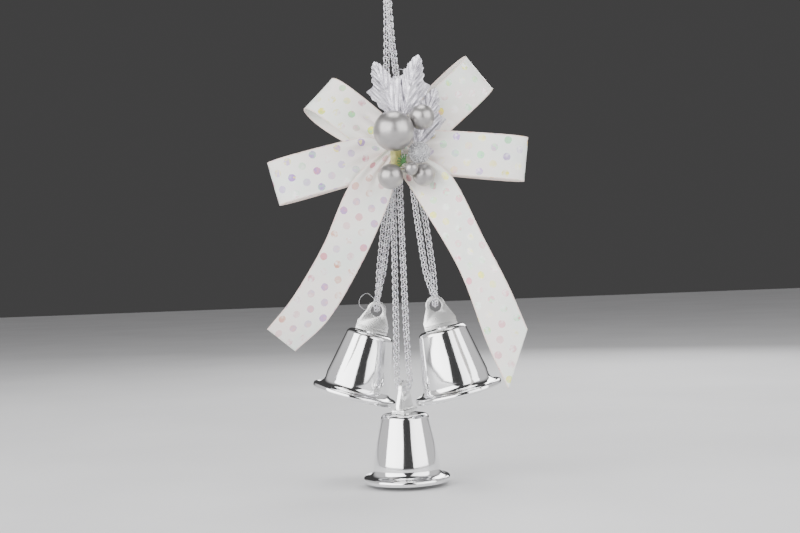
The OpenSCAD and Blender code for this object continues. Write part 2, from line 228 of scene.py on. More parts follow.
class Look:
    """A material whose numbers come from nodes; arguments are sockets or plain values."""

    def __init__(self, name, rough=0.5, metal=0.0, **fixed):
        self.material = bpy.data.materials.new(name)
        self.material.use_nodes = True
        self.tree = self.material.node_tree
        self.shader = self.tree.nodes["Principled BSDF"]
        self.shader.inputs["Roughness"].default_value = rough
        self.shader.inputs["Metallic"].default_value = metal
        for key, value in fixed.items():
            self.shader.inputs[key.replace("_", " ")].default_value = value

    def feed(self, socket, value):
        """Link a socket to another, or set its plain value."""
        if isinstance(value, bpy.types.NodeSocket):
            self.tree.links.new(value, socket)
        elif value is not None:
            socket.default_value = value

    def node(self, kind, **props):
        node = self.tree.nodes.new(kind)
        for key, value in props.items():
            setattr(node, key, value)
        return node

    def place(self):
        """The point's place on the object, in metres."""
        return self.node("ShaderNodeTexCoord").outputs["Object"]

    def uv(self):
        """A ribbon's own coordinates, in millimetres: across it from its middle, and along it."""
        node = self.node("ShaderNodeUVMap", uv_map="uv")
        split = self.node("ShaderNodeSeparateXYZ")
        self.feed(split.inputs[0], node.outputs[0])
        return split.outputs[0], split.outputs[1]

    def math(self, operation, a, b=None):
        node = self.node("ShaderNodeMath", operation=operation)
        for socket, value in zip(node.inputs, (a, b)):
            self.feed(socket, value)
        return node.outputs[0]

    def times(self, a, b):
        return self.math("MULTIPLY", a, b)

    def plus(self, a, b):
        return self.math("ADD", a, b)

    def minus(self, a, b):
        return self.math("SUBTRACT", a, b)

    def vector(self, x, y, z):
        node = self.node("ShaderNodeCombineXYZ")
        for socket, value in zip(node.inputs, (x, y, z)):
            self.feed(socket, value)
        return node.outputs[0]

    def noise(self, where, scale, detail=3.0, rough=0.5):
        """Soft cloud between 0 and 1; scale counts its lumps to the unit of where."""
        node = self.node("ShaderNodeTexNoise")
        self.feed(node.inputs["Vector"], where)
        node.inputs["Scale"].default_value = scale
        node.inputs["Detail"].default_value = detail
        node.inputs["Roughness"].default_value = rough
        return node.outputs["Fac"]

    def cells(self, where, scale, output="Color"):
        """Small cells: a random colour each, or the distance from each one's middle."""
        node = self.node("ShaderNodeTexVoronoi")
        self.feed(node.inputs["Vector"], where)
        node.inputs["Scale"].default_value = scale
        return node.outputs[output]

    def random(self, where):
        """A number from 0 to 1 that differs from place to place."""
        node = self.node("ShaderNodeTexWhiteNoise")
        self.feed(node.inputs["Vector"], where)
        return node.outputs["Value"]

    def ramp(self, value, *stops):
        """A colour that changes evenly between stops, each a position and a colour."""
        node = self.node("ShaderNodeValToRGB")
        while len(node.color_ramp.elements) < len(stops):
            node.color_ramp.elements.new(0.5)
        for element, (at, color) in zip(node.color_ramp.elements, stops):
            element.position = at
            element.color = (*color, 1)
        self.feed(node.inputs[0], value)
        return node.outputs[0]

    def mix(self, share, a, b):
        """The colour a with a share of the colour b."""
        node = self.node("ShaderNodeMix", data_type="RGBA")
        self.feed(node.inputs[0], share)
        for socket, value in zip(node.inputs[COLOR_SOCKETS], (a, b)):
            self.feed(socket, (*value, 1) if isinstance(value, tuple) else value)
        return node.outputs[COLOR_RESULT]

    def scaled(self, value, low, high):
        """A value of 0 to 1 taken to low to high."""
        node = self.node("ShaderNodeMapRange")
        self.feed(node.inputs["Value"], value)
        node.inputs["To Min"].default_value = low
        node.inputs["To Max"].default_value = high
        return node.outputs[0]

    def bump(self, height, strength, distance):
        """Fine relief on the shader's normal, distance in metres."""
        node = self.node("ShaderNodeBump")
        node.inputs["Strength"].default_value = strength
        node.inputs["Distance"].default_value = distance
        self.feed(node.inputs["Height"], height)
        self.feed(self.shader.inputs["Normal"], node.outputs[0])

    def set(self, name, value):
        """Feed one of the shader's own sockets."""
        self.feed(self.shader.inputs[name], value)


PEACH_EDGE_HIGHLIGHT = (0.86, 0.68, 0.62)
EDGE_FROM = 9.45
WARP_PITCH = 0.28
WEFT_PITCH = 0.34
DOT_ROW = 5.85
DOT_COLUMN = 7.5
DOT_RADIUS = 1.95
ODD_ROW_FADE = 0.34
FOIL_METAL = 0.15
LEMON = (0.93, 0.86, 0.05)
MINT = (0.34, 0.78, 0.42)
ROSE = (0.76, 0.3, 0.38)
PLUM = (0.4, 0.22, 0.6)
SNOW = (1.0, 1.0, 1.0)
COPPER = (0.7, 0.3, 0.18)
FOILS = {
    1: (LEMON, SNOW, ROSE, MINT, LEMON, SNOW), 2: (LEMON, MINT, SNOW, LEMON, ROSE, SNOW),
    3: (LEMON, PLUM, ROSE, SNOW, MINT, PLUM), 4: (PLUM, ROSE, LEMON, SNOW, PLUM, MINT),
    5: (ROSE, COPPER, SNOW, ROSE, PLUM, ROSE), 6: (MINT, SNOW, MINT, LEMON, SNOW, ROSE),
}


def satin(look):
    """Colour, weave and selvedge of the satin, with a painted peach highlight along its edge; gives back the
    colour and the ribbon's coordinates.
    """
    across, length = look.uv()
    stretched = look.vector(look.times(across, 0.035), look.times(length, 0.03), 0.0)
    tint = look.noise(stretched, 1.0, 2.0)
    color = look.ramp(tint, (0.3, (0.92, 0.8, 0.8)), (0.45, (0.93, 0.89, 0.84)), (0.58, (0.83, 0.9, 0.84)),
                      (0.72, (0.92, 0.81, 0.86)))
    cloud = look.noise(look.place(), 300.0, 4.0)
    color = look.mix(look.scaled(cloud, 0.0, 0.3), color, (0.95, 0.92, 0.89))
    edge = look.math("GREATER_THAN", look.math("ABSOLUTE", across), EDGE_FROM)
    # the peach over the selvedge is a painted highlight; the same mask raises the real selvedge in the bump
    # below
    color = look.mix(look.times(edge, 0.75), color, PEACH_EDGE_HIGHLIGHT)
    warp = look.math("SINE", look.times(across, 2 * math.pi / WARP_PITCH))
    weft = look.math("SINE", look.times(length, 2 * math.pi / WEFT_PITCH))
    look.set("Base Color", color)
    look.bump(look.plus(look.times(look.times(warp, weft), 0.5), look.times(edge, 1.2)), 0.25, 0.00005)
    return color, across, length


def ribbon_back():
    """Pearly satin with a fine weave and a selvedge under a painted peach highlight, plain of dots."""
    look = Look("ribbon_satin", rough=0.42, Sheen_Weight=0.35, Sheen_Roughness=0.35)
    satin(look)
    return look.material


def ribbon_front(seed):
    """The satin with rows of foil dots, in columns that shift by half from row to row."""
    look = Look(f"ribbon_dots_{seed}", rough=0.4, Sheen_Weight=0.3, Sheen_Roughness=0.35)
    color, across, length = satin(look)
    row = look.math("ROUND", look.math("DIVIDE", length, DOT_ROW))
    odd = look.math("MODULO", look.math("ABSOLUTE", row), 2.0)
    shifted = look.plus(across, look.times(odd, DOT_COLUMN / 2))
    column = look.math("ROUND", look.math("DIVIDE", shifted, DOT_COLUMN))
    dx = look.minus(shifted, look.times(column, DOT_COLUMN))
    dy = look.minus(length, look.times(row, DOT_ROW))
    far = look.math("SQRT", look.plus(look.times(dx, dx), look.times(dy, dy)))
    worn = look.noise(look.vector(across, length, float(seed)), 1.3, 2.0)
    dot = look.math("LESS_THAN", look.plus(far, look.times(worn, 0.5)), DOT_RADIUS)
    # each dot has its own tint, which drifts across it as foil does
    which = look.random(look.vector(column, row, float(seed)))
    patch = look.noise(look.vector(dx, dy, look.times(which, 40.0)), 0.5, 1.0)
    hue = look.math("FRACT", look.plus(which, look.times(patch, 0.6)))
    tints = FOILS[seed]
    foil = look.ramp(hue, *[(k / len(tints), tint) for k, tint in enumerate(tints)])
    bright = look.scaled(look.random(look.vector(row, column, seed + 0.5)), 0.6, 1.0)
    strength = look.times(look.times(dot, bright), look.minus(1.0, look.times(odd, ODD_ROW_FADE)))
    look.set("Base Color", look.mix(strength, color, foil))
    look.set("Metallic", look.times(strength, FOIL_METAL))
    look.set("Roughness", look.minus(0.42, look.times(dot, 0.22)))
    return look.material


def metallic_yarn():
    """Silver lurex yarn: slit-film strands with fine painted glints, painted highlight on the strands and
    painted shade in the hollows, in random patches.
    """
    look = Look("silver_yarn", metal=0.55)
    where = look.place()
    painted_glint = look.cells(where, 2600.0)
    shade = look.noise(where, 420.0, 3.0)
    # the shade ramp is painted shade in random hollows and painted highlight on the strands; the glint cells
    # mixed in are painted glints
    base = look.ramp(shade, (0.25, (0.46, 0.45, 0.49)), (0.5, (0.74, 0.73, 0.77)), (0.75, (0.96, 0.96, 0.98)))
    look.set("Base Color", look.mix(0.12, base, painted_glint))
    look.set("Roughness", look.scaled(shade, 0.22, 0.5))
    look.bump(look.noise(where, 3200.0, 2.0), 0.5, 0.0001)
    return look.material


def leaf_silver():
    """Pressed lilac-silver leaf: satin, with painted sparkle and lighter patches."""
    look = Look("leaf_silver", metal=0.8, Coat_Weight=0.15, Coat_Roughness=0.25)
    where = look.place()
    shade = look.noise(where, 160.0, 4.0)
    # white specks of painted sparkle
    painted_sparkle = look.math("GREATER_THAN", look.cells(where, 2300.0, "Distance"), 0.62)
    base = look.ramp(shade, (0.3, (0.38, 0.36, 0.42)), (0.55, (0.55, 0.53, 0.59)), (0.75, (0.76, 0.74, 0.8)))
    look.set("Base Color", look.mix(look.times(painted_sparkle, 0.5), base, SNOW))
    look.set("Roughness", look.scaled(shade, 0.4, 0.24))
    look.bump(look.noise(where, 1400.0, 3.0), 0.35, 0.0001)
    return look.material


def pearl():
    """Pearl-silver lacquer with the fine grain of a dipped ball."""
    look = Look("pearl_silver", metal=0.85, Coat_Weight=0.2, Coat_Roughness=0.25)
    where = look.place()
    grain = look.noise(where, 2400.0, 3.0)
    cloud = look.noise(where, 120.0, 2.0)
    look.set("Base Color", look.ramp(cloud, (0.3, (0.33, 0.315, 0.31)), (0.7, (0.48, 0.465, 0.46))))
    look.set("Roughness", look.scaled(grain, 0.26, 0.4))
    look.bump(grain, 0.18, 0.00006)
    return look.material


def chrome(name, color=(0.9, 0.9, 0.91), low=0.05, high=0.14, wave=0.12):
    """Bright plating with faint waviness, wipe haze and a few specks."""
    look = Look(name, metal=1.0)
    where = look.place()
    haze = look.noise(where, 60.0, 5.0, 0.6)
    speck = look.math("LESS_THAN", look.cells(where, 240.0, "Distance"), 0.055)
    look.set("Base Color", look.mix(look.times(speck, 0.4), color, (0.35, 0.33, 0.33)))
    look.set("Roughness", look.scaled(haze, low, high))
    look.bump(look.noise(where, 90.0, 2.0), wave, 0.0003)
    return look.material


def steel_wire():
    """Bare grey wire with fine streaks."""
    look = Look("wire_steel", metal=1.0)
    where = look.place()
    streak = look.noise(where, 900.0, 3.0)
    look.set("Base Color", look.ramp(streak, (0.3, (0.42, 0.42, 0.43)), (0.7, (0.66, 0.66, 0.67))))
    look.set("Roughness", look.scaled(streak, 0.22, 0.42))
    return look.material


def crepe_tape():
    """Olive florist's tape: waxy crepe with stretch lines."""
    look = Look("crepe_tape", Sheen_Weight=0.2)
    where = look.place()
    mottle = look.noise(where, 420.0, 4.0)
    olive = look.ramp(mottle, (0.3, (0.2, 0.2, 0.05)), (0.55, (0.42, 0.4, 0.12)), (0.8, (0.56, 0.52, 0.24)))
    look.set("Base Color", olive)
    look.set("Roughness", look.scaled(mottle, 0.55, 0.75))
    look.bump(look.noise(where, 1800.0, 3.0), 0.5, 0.0001)
    return look.material


def needle_green():
    """Dark green plastic needles, uneven in tone."""
    look = Look("needle_green", rough=0.45)
    tone = look.noise(look.place(), 700.0, 2.0)
    look.set("Base Color", look.ramp(tone, (0.3, (0.015, 0.07, 0.02)), (0.7, (0.06, 0.2, 0.05))))
    return look.material


def clear_beads():
    """Clear resin grains over a grey core, which read as ice."""
    look = Look("clear_beads", rough=0.08, IOR=1.5, Transmission_Weight=0.6, Coat_Weight=0.4)
    depth = look.cells(look.place(), 800.0, "Distance")
    look.set("Base Color", look.ramp(depth, (0.1, (0.72, 0.72, 0.75)), (0.7, (0.97, 0.97, 0.99))))
    return look.material


def bead_core():
    """The grey glitter ball under the grains."""
    look = Look("bead_core", rough=0.35, metal=0.3)
    glitter = look.noise(look.place(), 900.0, 3.0)
    look.set("Base Color", look.ramp(glitter, (0.3, (0.36, 0.36, 0.38)), (0.7, (0.66, 0.66, 0.68))))
    return look.material


YARN = metallic_yarn()
SATIN_BACK = ribbon_back()
LEAF = leaf_silver()
PEARL = pearl()
CHROME = chrome("bell_chrome")
LUG_CHROME = chrome("lug_chrome", (0.98, 0.98, 0.97), 0.22, 0.34, 0.02)
WIRE = steel_wire()
TAPE = crepe_tape()
NEEDLE = needle_green()
BEADS = clear_beads()
CORE = bead_core()


# ---- knitted cords: one yarn looped round and round the cord's line ----
CORD_D = 3.3
YARN_D = 0.5
STITCHES = 3
COURSE = 3.3
STITCH_HEIGHT = 0.713 * COURSE
STITCH_STEPS = 14
STITCH_SWAY = 0.42
STITCH_DIP = 0.34
UNEVEN_SWAY = 0.1
UNEVEN_DIP = 0.08
END_MARGIN = 0.3
LINE_STEP = 0.4
INTO_KNOT = 1.6


def knit(line, ref, radius, seed):
    """The yarn's centre line: STITCHES a turn, each an interlocking loop of a tube knit."""
    line = resampled(line, LINE_STEP)
    rng = random.Random(seed)
    s = along(line)
    _, u, v = frames(line, ref)
    turns = (s[-1] - 2.2 * YARN_D) / COURSE
    n = int(turns * STITCHES * STITCH_STEPS)
    k = np.arange(n) / STITCH_STEPS
    wobble = np.repeat([rng.uniform(-1, 1) for _ in range(int(k[-1]) + 2)], STITCH_STEPS)[:n]
    wobble = np.convolve(wobble, np.ones(9) / 9, mode="same")
    phase = 2 * math.pi * k
    angle = 2 * math.pi * k / STITCHES + STITCH_SWAY * np.sin(2 * phase) + UNEVEN_SWAY * wobble
    height = k / STITCHES * COURSE + YARN_D + STITCH_HEIGHT * (1 + np.cos(phase)) / 2
    height = np.clip(height, END_MARGIN, s[-1] - END_MARGIN)
    reach = radius - YARN_D / 2 - STITCH_DIP * (1 + np.cos(2 * phase)) / 2 + UNEVEN_DIP * wobble

    def at(table):
        return np.stack([np.interp(height, s, table[:, j]) for j in range(3)], axis=1)

    across = at(u) * np.cos(angle)[:, None] + at(v) * np.sin(angle)[:, None]
    return at(line) + across * reach[:, None]


def knitted_cord(name, route, ref, body, node, seed):
    """A cord along its route; its yarn runs on a little into the knots at both ends."""
    line = curve(route, 12)
    first = line[0] + unit(line[0] - line[1]) * INTO_KNOT
    last = line[-1] + unit(line[-1] - line[-2]) * INTO_KNOT
    yarn = knit(np.vstack([first, line, last]), ref, CORD_D / 2, seed)
    verts, faces = tube(yarn, YARN_D / 2, ref)
    obj = piece(name, verts, faces, [YARN], body, (node,))


# each cord's route: out from its knot, round its far end and back to the knot
HANGER = [
    (-2, 10, -63.2), (-2.2, 7, -57), (-2, 3, -49), (-1.8, -0.6, -40), (-1.2, -3, -30), (-0.8, -5, -20),
    (-0.5, -6, -11), (-0.4, -5.6, -4.5), (-0.3, -4, -0.6), (0, 0, 1.65), (0.3, 4, -0.6), (0.4, 5.6, -4.5),
    (0.6, 6, -11), (1, 5.4, -20), (1.8, 4.4, -30), (2.6, 3.4, -40), (3.2, 4.6, -49), (3.4, 7.4, -57),
    (3.2, 10, -63.2),
]
CORD_LEFT = [
    (-0.2, 6.4, -90.6), (-1.8, 7.3, -100), (-4.1, 8.7, -115), (-6.5, 10, -130), (-8.8, 10.4, -139),
    (-10.4, 10.8, -145.8), (-10.4, 11.2, -147.4), (-10.4, 12.4, -148.6), (-10.4, 14, -149),
    (-10.4, 15.6, -148.6), (-10.4, 16.8, -147.4), (-10.4, 17.2, -145.8), (-9.4, 16, -139),
    (-8.5, 14.2, -130), (-6.5, 12.5, -115), (-4.2, 11.1, -100), (-2.6, 10.2, -90.6),
]
CORD_RIGHT = [
    (8.2, -2.4, -90.6), (9, -3.3, -100), (10.7, -4.7, -115), (12.5, -6.5, -130), (14.5, -8.3, -138),
    (16.5, -9.2, -143.8), (16.5, -8.8, -145.4), (16.5, -7.6, -146.6), (16.5, -6, -147),
    (16.5, -4.4, -146.6), (16.5, -3.2, -145.4), (16.5, -2.8, -143.8), (16.5, -2.4, -138),
    (16, -2.3, -130), (14.4, -1.1, -115), (12.4, 0.3, -100), (10.6, 1.4, -90.6),
]
CORD_LOWER = [
    (-0.6, 1.6, -90.6), (-0.8, 1.4, -100), (-1.1, 1.2, -120), (-1.4, 1.1, -140), (-1.7, 1.1, -160),
    (-2, 1.2, -174), (-2, 1.35, -182.3), (-1.6, 1.2, -183.9), (-0.6, 0.7, -185.1),
    (0.9, 0, -185.5), (2.4, -0.7, -185.1), (3.4, -1.2, -183.9), (3.8, -1.35, -182.3),
    (3.5, -1.2, -174), (3, -1.1, -160), (2.8, -1.1, -140), (2.6, -1.2, -120), (2.5, -1.4, -100),
    (2.6, -1.4, -90.6),
]
LOWER_LUG_TURN = 65
SIDEWAYS = (1, 0, 0)
LUG_LINE = (math.cos(math.radians(LOWER_LUG_TURN)), math.sin(math.radians(LOWER_LUG_TURN)), 0)

knitted_cord("hanger_cord", HANGER, SIDEWAYS, "root", "hanger_loop", 3)
knitted_cord("left_bell_cord", CORD_LEFT, SIDEWAYS, "strand_left", "cord_left", 5)
knitted_cord("right_bell_cord", CORD_RIGHT, SIDEWAYS, "strand_right", "cord_right", 7)
knitted_cord("lower_bell_cord", CORD_LOWER, LUG_LINE, "strand_lower", "cord_lower", 9)


HAIR_R = 0.09


def stray(name, points, body):
    """A loose hair of the yarn."""
    verts, faces = tube(curve(points, 8), HAIR_R, (0.2, 1, 0.1))
    piece(name, verts, faces, [YARN], body)


stray("hanger_stray", [(2.8, 2.6, -39), (4.4, 1.6, -38.2), (5.8, 1.2, -38.6), (6.6, 1.5, -37.8)], "root")
stray("left_cord_stray", [(-11.2, 9.6, -144), (-14.5, 8.6, -141.2), (-17.6, 8.4, -142.8),
                          (-18.4, 8.6, -146.2), (-16.2, 8.8, -148.6), (-13.8, 9, -148.4)], "strand_left")


# ---- knots: the same yarn wound in a lump ----
KNOT_RINGS = 5
KNOT_CORD_R = 0.95
KNOT_YARN_R = 0.28
KNOT_CORE_IN = 0.7
END_CORD_R = 1.5


def wound_knot(name, centre, size, body, node, seed):
    """Rings of thin knitted cord at random tilts round a ball, which read as a tight knot."""
    rng = random.Random(seed)
    a = np.linspace(0, 2 * math.pi, 60)
    parts = []
    for i in range(KNOT_RINGS):
        axis = unit([rng.uniform(-0.6, 0.6), rng.uniform(-0.6, 0.6), rng.uniform(-1, 1)])
        side = unit(np.cross(axis, (0.3, 1, 0.2)))
        other = np.cross(axis, side)
        off = rng.uniform(-0.25, 0.25) * size
        reach = np.sqrt(max(0.1, 1 - (off / (size / 2)) ** 2)) * (size / 2 - KNOT_CORD_R)
        ring = reach * (np.cos(a)[:, None] * side + np.sin(a)[:, None] * other)
        line = np.asarray(centre) + axis * off + ring
        parts.append(tube(knit(line, axis, KNOT_CORD_R, seed + i), KNOT_YARN_R, axis))
    parts.append(ball_mesh(size / 2 - KNOT_CORE_IN, centre, 16))
    verts, faces = joined(parts)
    piece(name, verts, faces, [YARN], body, (node,))


wound_knot("hanger_knot_yarn", (0.6, 10, -67), 8.0, "root", "hanger_knot", 21)
wound_knot("left_knot_yarn", (-0.8, 8, -87), 6.6, "knot_left", "knot_left", 31)
wound_knot("right_knot_yarn", (8.8, 0.2, -87), 6.6, "knot_right", "knot_right", 41)
wound_knot("lower_knot_yarn", (1, 0.4, -87), 6.6, "strand_lower", "knot_lower", 51)


def tied_end(name, points, seed):
    """A short end of cord between the wired waist and a knot."""
    verts, faces = tube(knit(curve(points, 8), SIDEWAYS, END_CORD_R, seed), YARN_D / 2, SIDEWAYS)
    piece(name, verts, faces, [YARN])


tied_end("hanger_tied_end", [(0.6, 9, -70.4), (0.8, 6.5, -73), (1.2, 2.5, -75.5), (1.6, -1, -77)], 61)
tied_end("left_tied_end", [(1.2, 0.5, -77.5), (0.6, 4, -79.4), (-0.4, 7, -82), (-0.8, 8, -85)], 62)
tied_end("right_tied_end", [(3.4, -1, -78), (5.6, -0.4, -80), (8, 0, -82.4), (8.8, 0.2, -85)], 63)
tied_end("lower_tied_end", [(1.6, -1.5, -78), (1.2, -0.4, -80.5), (1, 0.2, -82.6), (1, 0.4, -85)], 64)


# ---- ribbon ----
BOW = np.array([2.0, -6.0, -76.0])
RIBBON_W = 20.0
WAIST_W = 8.0
WIDE_BY = 15.0
SKIN = 0.17
CLOTH_COLUMNS = 41
PLEATS = 3.5
PLEAT_AT_WAIST = 0.3
PLEAT_GAIN = 0.62
PLEAT_RISE = 7.0
PLEAT_FADE = 17.0
CREASE_REACH = 24.0
WAVES_FROM = 12.0
LOOP_STEPS = 120
LOOP_START = 3.68
WAIST_EDGE = 3.6
# the scale makes the widest part of a loop stand about LOOP_HALF_GAP to each side of its middle
LOOP_HALF_GAP = 6.5
GAP_SCALE = 1.64
WAIST_GAP = 0.65


def cloth(name, left, right, waist_distance, node, seed):
    """A satin strip between two edge lines: pleated where it is gathered, creased further out."""
    rng = random.Random(seed)
    c = np.linspace(-1, 1, CLOTH_COLUMNS)
    middle = (left + right) / 2
    s = along(middle)
    t = unit(np.gradient(middle, axis=0))
    w = right - left
    normal = unit(np.cross(t, w))
    base = left[:, None] + w[:, None] * ((c + 1) / 2)[None, :, None]
    far = waist_distance[:, None]
    pinch = PLEAT_AT_WAIST + PLEAT_GAIN * smooth(far / PLEAT_RISE)
    fade = 1 - smooth((far - PLEAT_RISE) / PLEAT_FADE)
    fold = math.pi * PLEATS * (c[None] + 0.06 * np.sin(far / 5)) + rng.uniform(0, 6)
    pleats = pinch * fade * np.cos(fold)
    crease = 0.0
    for _ in range(4):
        where, wide = rng.uniform(-0.8, 0.8), rng.uniform(0.12, 0.25)
        drift = where + rng.uniform(-0.012, 0.012) * far
        ridge = rng.uniform(-0.55, 0.55) * np.exp(-(((c[None] - drift) / wide) ** 2))
        crease = crease + ridge * np.exp(-(far / CREASE_REACH) ** 2)
    waves = 0.0
    for _ in range(5):
        tall, long = rng.uniform(-0.16, 0.16), rng.uniform(5, 13)
        skew, phase = rng.uniform(-2, 2), rng.uniform(0, 6)
        waves = waves + tall * np.sin(s[:, None] / long + c[None] * skew + phase)
    lift = pleats + crease + waves * smooth(far / WAVES_FROM)
    grid = base + normal[:, None] * lift[:, :, None]
    # the weave's own coordinates, in millimetres: across the strip and along it
    offset = ((base - middle[:, None]) * t[:, None]).sum(axis=2)
    across_cloth = np.broadcast_to(c[None] * RIBBON_W / 2, offset.shape)
    uv = np.stack([across_cloth, s[:, None] + offset], axis=2).reshape(-1, 2)
    up = unit(np.cross(np.gradient(grid, axis=0), np.gradient(grid, axis=1)))
    front, back = (grid + up * SKIN).reshape(-1, 3), (grid - up * SKIN).reshape(-1, 3)
    faces, behind = sheet_faces(len(left), CLOTH_COLUMNS)
    satins = [ribbon_front(seed), SATIN_BACK]
    obj = piece(name, np.vstack([front, back]), faces, satins, "root", (node,), np.vstack([uv, uv]))
    obj.data.polygons.foreach_set("material_index", behind)


def loop_strip(name, direction, length, lean, back, bow_y, node, seed):
    """One loop of the bow: out from the waist, round and back; angles are in degrees."""
    heading, rearward, tilt = (math.radians(x) for x in (direction, back, lean))
    flat_share = math.cos(rearward)
    outward = np.array([math.cos(heading) * flat_share, math.sin(rearward), math.sin(heading) * flat_share])
    across = np.array([-math.sin(heading), 0, math.cos(heading)])
    behind = np.cross(across, outward)
    edgeways = across * math.cos(tilt) + behind * math.sin(tilt)
    opening = behind * math.cos(tilt) - across * math.sin(tilt)
    # the way round the loop, short of a whole turn so that its two ends stay apart
    a = np.radians(1 + 358 * np.arange(LOOP_STEPS + 1) / LOOP_STEPS)
    share = (1 - np.cos(a)) / 2
    out = LOOP_START + (length - LOOP_START) * share
    gap = -GAP_SCALE * LOOP_HALF_GAP * np.sin(a) * share**1.2 - np.sign(np.sin(a)) * WAIST_GAP * (1 - share)
    start = BOW + np.array([0, bow_y, 0])
    line = resampled(start + out[:, None] * outward + gap[:, None] * opening, 0.8)
    reach = (line - start) @ outward
    width = WAIST_W + (RIBBON_W - WAIST_W) * smooth(reach / WIDE_BY)
    edge = edgeways * (width / 2)[:, None]
    cloth(name, line - edge, line + edge, reach - WAIST_EDGE, node, seed)


def tail_strip(name, first, second, node, seed):
    """A tail of the bow between its two edge lines, from the waist down."""
    a, b = curve(first, 22), curve(second, 22)
    distance = np.linalg.norm((a + b) / 2 - (a[0] + b[0]) / 2, axis=1)
    cloth(name, a, b, distance, node, seed)


TAIL_LEFT_OUT = [(0.4, -9.2, -73.5), (-7, -10.6, -79), (-20, -15.5, -92), (-32, -18, -117), (-46, -21, -140),
                 (-58.5, -22, -155)]
TAIL_LEFT_IN = [(1.4, -9.2, -79), (-0.5, -9.4, -87), (-2, -10, -98), (-16.5, -11, -128), (-32, -14, -152),
                (-47.5, -12, -165.5)]
TAIL_RIGHT_IN = [(2.6, -9.2, -79), (4, -9.6, -88), (9.5, -13, -98), (27, -24, -131), (38, -29, -164),
                 (46.5, -31, -184.5)]
TAIL_RIGHT_OUT = [(3.6, -9.2, -73.5), (13, -11, -79), (26, -17, -90), (38.5, -26, -118), (48, -32, -139),
                  (55.6, -33, -158.5)]

loop_strip("upper_left_loop", 142, 48, -14, 17, 3.2, "upper_bow_ribbon", 1)
loop_strip("upper_right_loop", 43, 56, -14, 17, 3.2, "upper_bow_ribbon", 2)
loop_strip("side_left_loop", 194, 58.5, 0, -6, 0, "side_bow_ribbon", 3)
loop_strip("side_right_loop", -7, 58.5, 0, -6, 0, "side_bow_ribbon", 4)
tail_strip("left_tail", TAIL_LEFT_OUT, TAIL_LEFT_IN, "tail_ribbon", 5)
tail_strip("right_tail", TAIL_RIGHT_IN, TAIL_RIGHT_OUT, "tail_ribbon", 6)


# ---- leaves: pressed sheet with a midrib, slanting veins and pointed teeth ----
# half the leaf's outline, as shares of its length: out from the midrib, and up from its foot
LEAF_SIDE = [
    (0.02, 0), (0.07, 0.08), (0.16, 0.2), (0.21, 0.26), (0.21, 0.36), (0.26, 0.42), (0.27, 0.5), (0.31, 0.58),
    (0.19, 0.61), (0.15, 0.65), (0.165, 0.72), (0.12, 0.76), (0.125, 0.83), (0.08, 0.88), (0.075, 0.93),
    (0.0, 1.0),
]
LEAF_SKIN = 0.16
STALK_HALF_W = 0.5
VEIN_PITCH = 6.4
VEIN_SLANT = 2.3
FINE_PITCH = 3.2
FINE_SLANT = 3.0
MIDRIB_W = 0.55


def leaf(name, base, direction, length, tip_y, stalk, node, seed):
    """A creased leaf from its foot at base; direction is counted in degrees up from the right."""
    rng = random.Random(seed)
    half_widths, heights = (np.array(LEAF_SIDE) * length).T
    y = np.concatenate([np.linspace(-stalk, -0.4, 10), np.linspace(0, length, 130)])
    half = np.where(y < 0, STALK_HALF_W, np.interp(y, heights, half_widths) + 0.12)
    half = half + np.where(y > 2, 0.1 * np.sin(y * 5.1), 0)
    half = np.maximum(half, 0.05)
    c = np.linspace(-1, 1, 47)
    x = half[:, None] * c[None]
    far = np.abs(x)
    crease = np.abs(((y[:, None] - far * VEIN_SLANT) / VEIN_PITCH + rng.uniform(0, 1)) % 1.0 - 0.5) * 2
    fine = np.abs((y[:, None] - far * FINE_SLANT) / FINE_PITCH % 1.0 - 0.5) * 2
    midrib = 0.75 * np.exp(-(far / MIDRIB_W) ** 2)
    z = midrib + (1.0 * crease**1.5 + 0.18 * fine) * smooth(far / 1.4)
    z = z - 0.16 * far + 0.3 * np.sin(y[:, None] / length * 3.1) + 0.2 * np.sin(far * 0.9 + y[:, None] * 0.4)
    z = np.where(y[:, None] < 0, 0.1, z) * smooth((y[:, None] + 1) / 3)
    heading = math.radians(90 - direction)
    tilt = math.radians(90) + math.asin(tip_y / length)
    spin = np.array(Matrix.Rotation(heading, 3, "Y")) @ np.array(Matrix.Rotation(tilt, 3, "X"))
    # the veins stand out to the front, -Y
    if spin[1, 2] > 0:
        z = -z
    top, bottom = (np.stack([x, np.broadcast_to(y[:, None], x.shape), z + skin], axis=2).reshape(-1, 3)
                   for skin in (LEAF_SKIN, -LEAF_SKIN))
    verts = np.vstack([top, bottom]) @ spin.T + np.asarray(base)
    faces, _ = sheet_faces(*x.shape)
    piece(name, verts, [face[::-1] for face in faces], [LEAF], "root", (node,))


leaf("left_leaf", (2.2, -13.4, -62), 110, 27, -0.5, 9, "leaf_left", 1)
leaf("right_leaf", (5, -12.2, -62), 74, 29, -0.5, 9, "leaf_right", 2)
leaf("side_leaf", (10.5, -12.1, -76), 70, 29, -3.2, 4, "leaf_side", 3)


# ---- balls ----
for node, centre, radius in (
    ("ball_large", (0.6, -25, -69.3), 9.0), ("ball_top", (13.3, -20.5, -63.2), 5.7),
    ("ball_lower", (-1.5, -22.2, -89.2), 5.7), ("ball_small", (7.8, -24.5, -86.2), 3.0),
    ("ball_right", (13.3, -19, -88.8), 5.0),
):
    verts, faces = ball_mesh(radius, centre)
    piece(node + "_pearl", verts, faces, [PEARL], "root", (node,))


GRAINS = 210
GRAIN_TURN = 2.39996


